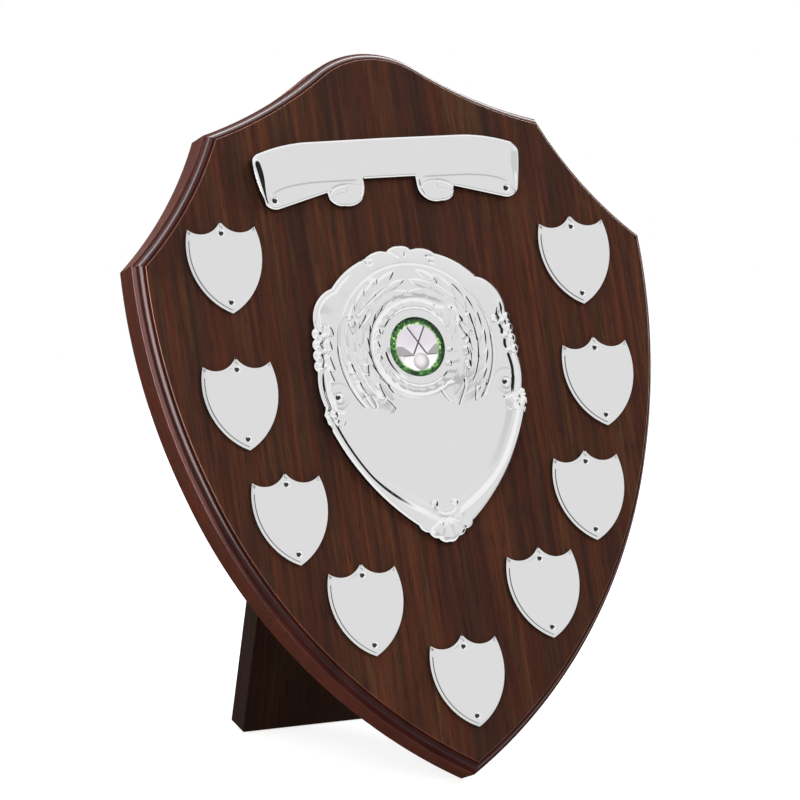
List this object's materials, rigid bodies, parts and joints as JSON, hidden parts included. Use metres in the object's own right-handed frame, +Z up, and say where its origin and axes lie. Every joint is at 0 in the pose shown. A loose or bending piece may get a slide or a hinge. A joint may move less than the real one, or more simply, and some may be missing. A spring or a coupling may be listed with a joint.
{
  "type": "perpetual award shield",
  "caption": "Shield-shaped moulded wooden board with bevelled engraving plates, a ribbon plate and an embossed centre shield, leaning on a hinged rear strut.",
  "frame": {"origin": "middle of the footprint, on the surface that the shield stands on", "axes": "+Z up, +X to the right seen from the front, the engraved face looks towards -Y and a little up"},
  "size_m": [0.2358, 0.145, 0.2908],
  "materials": {
    "board_wood": "dark rosewood veneer under a clear satin lacquer, moulded edge glossy",
    "strut_wood": "dark stained, satin",
    "silver_plate": "bright polished silver",
    "silver_pin": "bright nickel",
    "printed_disc": null,
    "clear_dome": "clear domed resin",
    "hinge_brass": "plain pressed brass"
  },
  "bodies": {
    "board": {"board": "board_wood", "side_plate_left_1": "silver_plate", "side_plate_left_2": "silver_plate", "side_plate_left_3": "silver_plate", "side_plate_left_4": "silver_plate", "side_plate_right_1": "silver_plate", "side_plate_right_2": "silver_plate", "side_plate_right_3": "silver_plate", "side_plate_right_4": "silver_plate", "side_plate_bottom": "silver_plate", "ribbon_plate": "silver_plate", "embossed_shield": "silver_plate", "side_plate_left_1_pin_1": "silver_pin", "side_plate_left_1_pin_2": "silver_pin", "side_plate_left_2_pin_1": "silver_pin", "side_plate_left_2_pin_2": "silver_pin", "side_plate_left_3_pin_1": "silver_pin", "side_plate_left_3_pin_2": "silver_pin", "side_plate_left_4_pin_1": "silver_pin", "side_plate_left_4_pin_2": "silver_pin", "side_plate_right_1_pin_1": "silver_pin", "side_plate_right_1_pin_2": "silver_pin", "side_plate_right_2_pin_1": "silver_pin", "side_plate_right_2_pin_2": "silver_pin", "side_plate_right_3_pin_1": "silver_pin", "side_plate_right_3_pin_2": "silver_pin", "side_plate_right_4_pin_1": "silver_pin", "side_plate_right_4_pin_2": "silver_pin", "side_plate_bottom_pin_1": "silver_pin", "side_plate_bottom_pin_2": "silver_pin", "ribbon_plate_pin_1": "silver_pin", "ribbon_plate_pin_2": "silver_pin", "embossed_shield_pin_1": "silver_pin", "embossed_shield_pin_2": "silver_pin", "centre_disc": "printed_disc", "clear_dome": "clear_dome", "hinge_board_leaf": "hinge_brass", "hinge_pin": "hinge_brass", "hinge_board_leaf_screw_1": "hinge_brass", "hinge_board_leaf_screw_2": "hinge_brass"},
    "strut": {"strut": "strut_wood", "hinge_strut_leaf": "hinge_brass", "hinge_strut_leaf_screw_1": "hinge_brass", "hinge_strut_leaf_screw_2": "hinge_brass"}
  },
  "joints": [
    {"name": "strut_fold", "type": "hinge", "parent": "board", "child": "strut", "pos_m": [0, 0.01317, 0.18693], "axis": [1, 0, 0], "range_deg": [-33.2, 0]}
  ]
}
